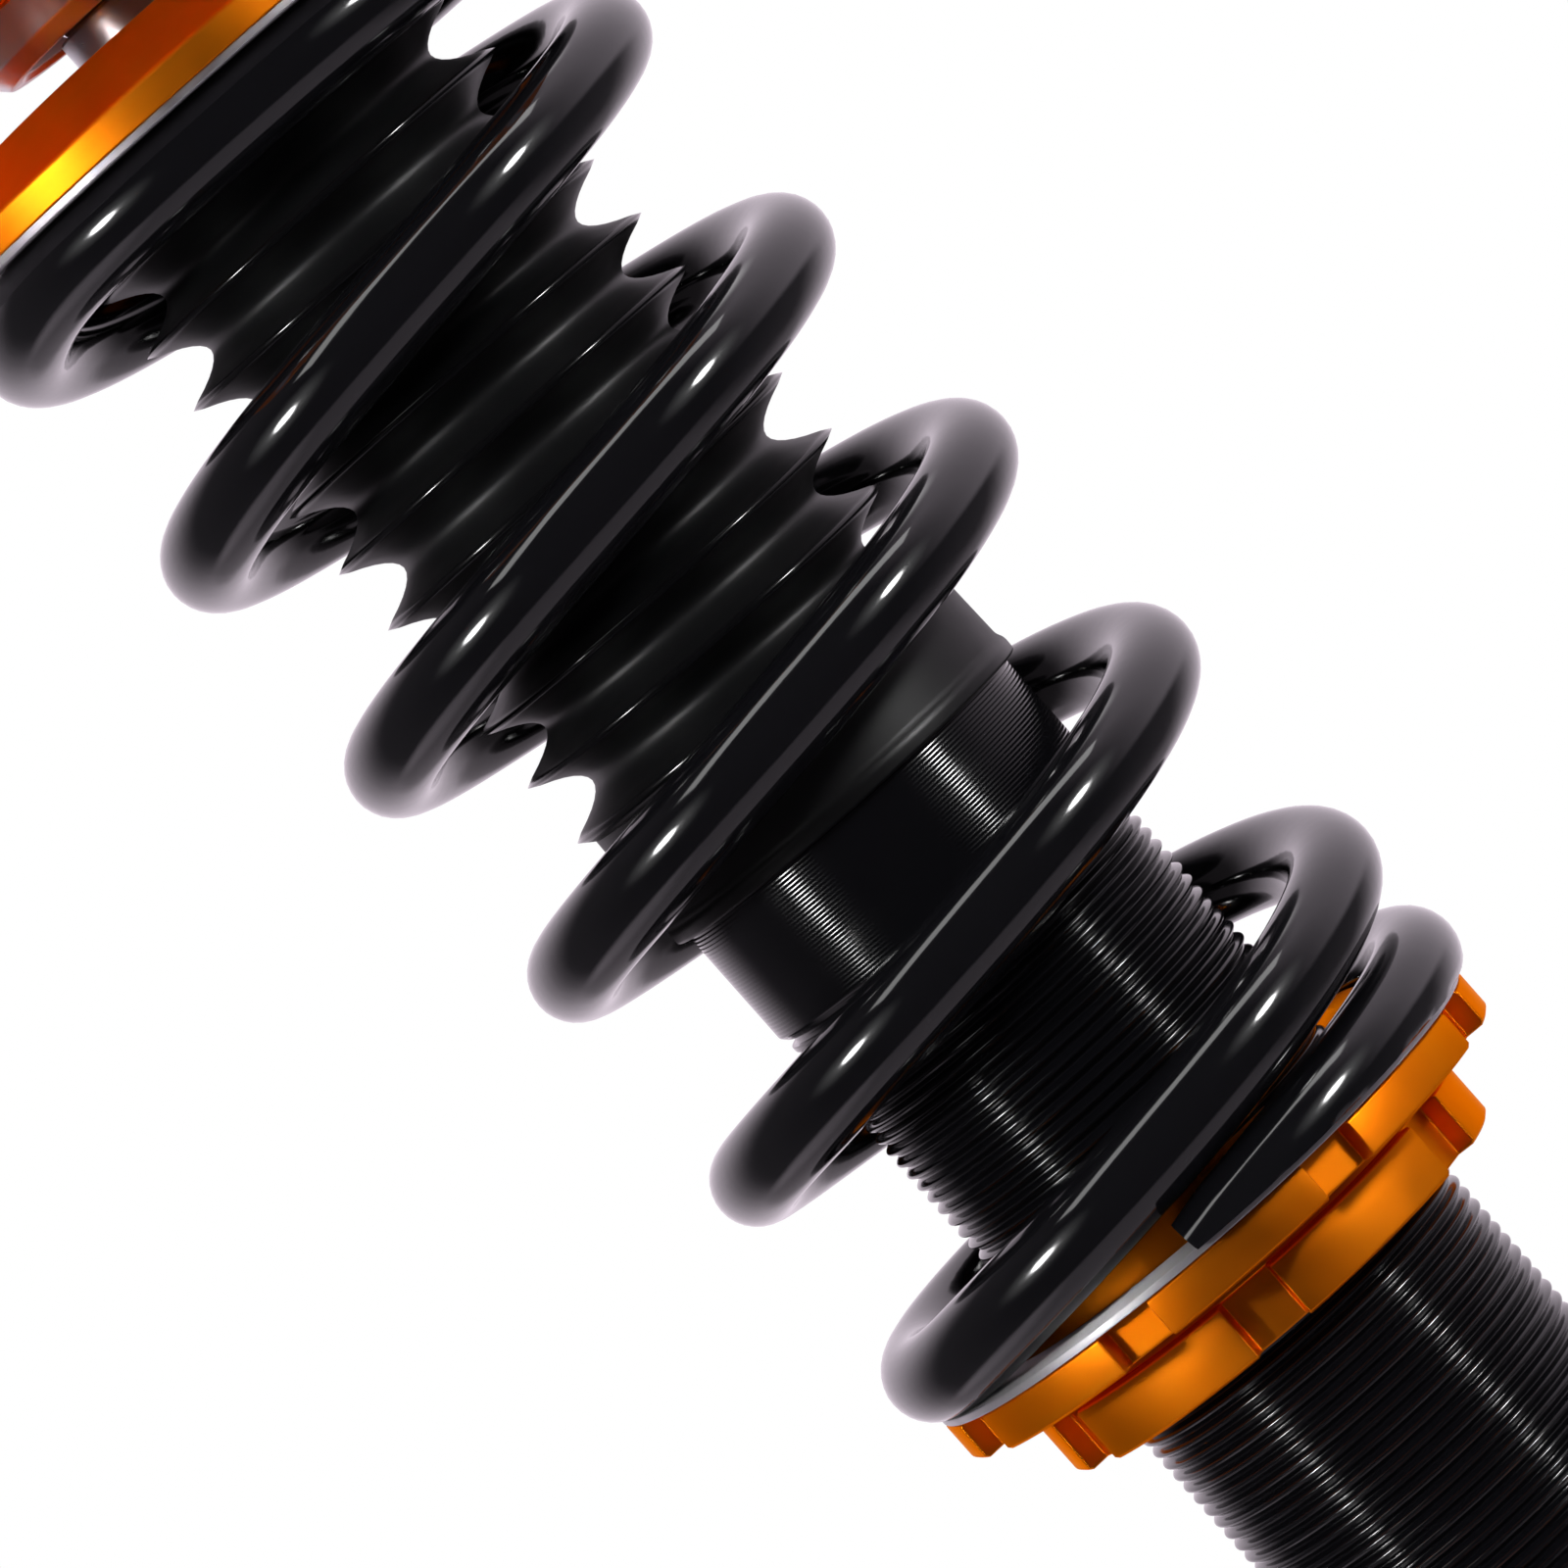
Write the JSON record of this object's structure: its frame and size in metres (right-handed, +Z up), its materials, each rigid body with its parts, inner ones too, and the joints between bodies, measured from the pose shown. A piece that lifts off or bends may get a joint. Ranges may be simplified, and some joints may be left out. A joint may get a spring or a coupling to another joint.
{
  "type": "coilover strut",
  "caption": "Threaded coilover strut with black coil spring, ribbed dust boot, orange screw perch and lock rings, camber-adjustable top mount and bolt-on knuckle bracket.",
  "frame": {"origin": "centre of the three tower studs, on the camber plate's upper face", "axes": "+Z up along the strut, out of the tower studs; +X towards the knuckle ears and along the camber slot; +Y across the ears"},
  "size_m": [0.1346, 0.125, 0.436],
  "materials": {
    "orange_anodised": "satin orange anodising",
    "black_gloss": "gloss black powder coat",
    "black_satin": "satin black",
    "turned_aluminium": "bright turned",
    "turned_steel": "bright turned",
    "chromed_steel": "polished hard chrome",
    "zinc_steel": "bright zinc plating",
    "polished_washer": "polished",
    "spring_steel": "plain",
    "sintered_steel": "matte",
    "black_oxide": "black oxide",
    "rubber": "matte",
    "foam": "matte foam",
    "ptfe_band": "matte",
    "bronze": "plain"
  },
  "bodies": {
    "top_plate": {"camber_plate": "orange_anodised", "tower_studs": "zinc_steel", "housing_screws": "black_oxide"},
    "bearing_block": {"bearing_housing": "turned_aluminium", "bearing_race": "turned_steel", "bearing_circlip": "black_oxide"},
    "ball": {"spherical_ball": "chromed_steel"},
    "rod": {"piston_rod": "chromed_steel", "rod_nut": "zinc_steel", "rod_washer": "zinc_steel", "rod_collar": "turned_steel", "upper_spring_seat": "orange_anodised", "upper_spring_washer": "polished_washer", "bump_stop": "foam", "rebound_stop": "rubber", "piston": "sintered_steel", "piston_band": "ptfe_band", "valve_shims": "spring_steel", "piston_nut": "zinc_steel"},
    "damper": {"damper_tube": "black_satin", "gland_nut": "turned_aluminium", "rod_wiper": "rubber", "oil_seal": "rubber", "rod_guide": "turned_aluminium", "guide_bush": "bronze", "guide_o_ring": "rubber", "guide_snap_ring": "spring_steel", "base_plug": "turned_aluminium", "gas_fill_screw": "black_oxide", "dust_boot": "rubber"},
    "floating_piston": {"gas_piston": "turned_aluminium", "gas_piston_o_ring": "rubber"},
    "spring_carrier": {"coil_spring": "black_gloss", "lower_spring_washer": "polished_washer"},
    "perch": {"spring_perch": "orange_anodised"},
    "perch_lock": {"perch_lock_ring": "orange_anodised"},
    "bracket_lock": {"bracket_lock_ring": "orange_anodised"},
    "bracket": {"bracket_socket": "black_satin", "knuckle_bracket": "black_satin"}
  },
  "joints": [
    {"name": "camber_slide", "type": "slide", "parent": "top_plate", "child": "bearing_block", "axis": [1, 0, 0], "range_m": [-0.008, 0.008]},
    {"name": "mount_tilt", "type": "hinge", "parent": "bearing_block", "child": "ball", "pos_m": [0, 0, -0.006], "axis": [0, 1, 0], "range_deg": [-8, 8]},
    {"name": "rod_swivel", "type": "hinge", "parent": "ball", "child": "rod", "pos_m": [0, 0, -0.006], "axis": [0, 0, 1], "continuous": true},
    {"name": "rod_stroke", "type": "slide", "parent": "rod", "child": "damper", "axis": [0, 0, 1], "range_m": [0, 0.08], "stiffness_N_per_m": 68600, "springref_m": -0.01, "deforming": ["coil_spring", "dust_boot"]},
    {"name": "gas_piston_slide", "type": "slide", "parent": "damper", "child": "floating_piston", "axis": [0, 0, 1], "range_m": [-0.021, 0]},
    {"name": "perch_height", "type": "slide", "parent": "damper", "child": "spring_carrier", "axis": [0, 0, 1], "range_m": [-0.03, 0]},
    {"name": "perch_turn", "type": "hinge", "parent": "spring_carrier", "child": "perch", "pos_m": [0, 0, -0.2219], "axis": [0, 0, 1], "range_deg": [-5400, 0]},
    {"name": "lock_ring_turn", "type": "hinge", "parent": "spring_carrier", "child": "perch_lock", "pos_m": [0, 0, -0.2378], "axis": [0, 0, 1], "range_deg": [-5401, 1]},
    {"name": "bracket_height", "type": "slide", "parent": "damper", "child": "bracket_lock", "axis": [0, 0, 1], "range_m": [-0.02, 0.008]},
    {"name": "bracket_turn", "type": "hinge", "parent": "bracket_lock", "child": "bracket", "pos_m": [0, 0, -0.325], "axis": [0, 0, 1], "range_deg": [-3600, 1440]}
  ],
  "couplings": [
    {"joint": "gas_piston_slide", "follows": "rod_stroke", "ratio": -0.25},
    {"joint": "perch_turn", "follows": "perch_height", "rad_per_m": 3141.6},
    {"joint": "lock_ring_turn", "follows": "perch_height", "rad_per_m": 3141.6},
    {"joint": "bracket_turn", "follows": "bracket_height", "rad_per_m": 3141.6}
  ]
}
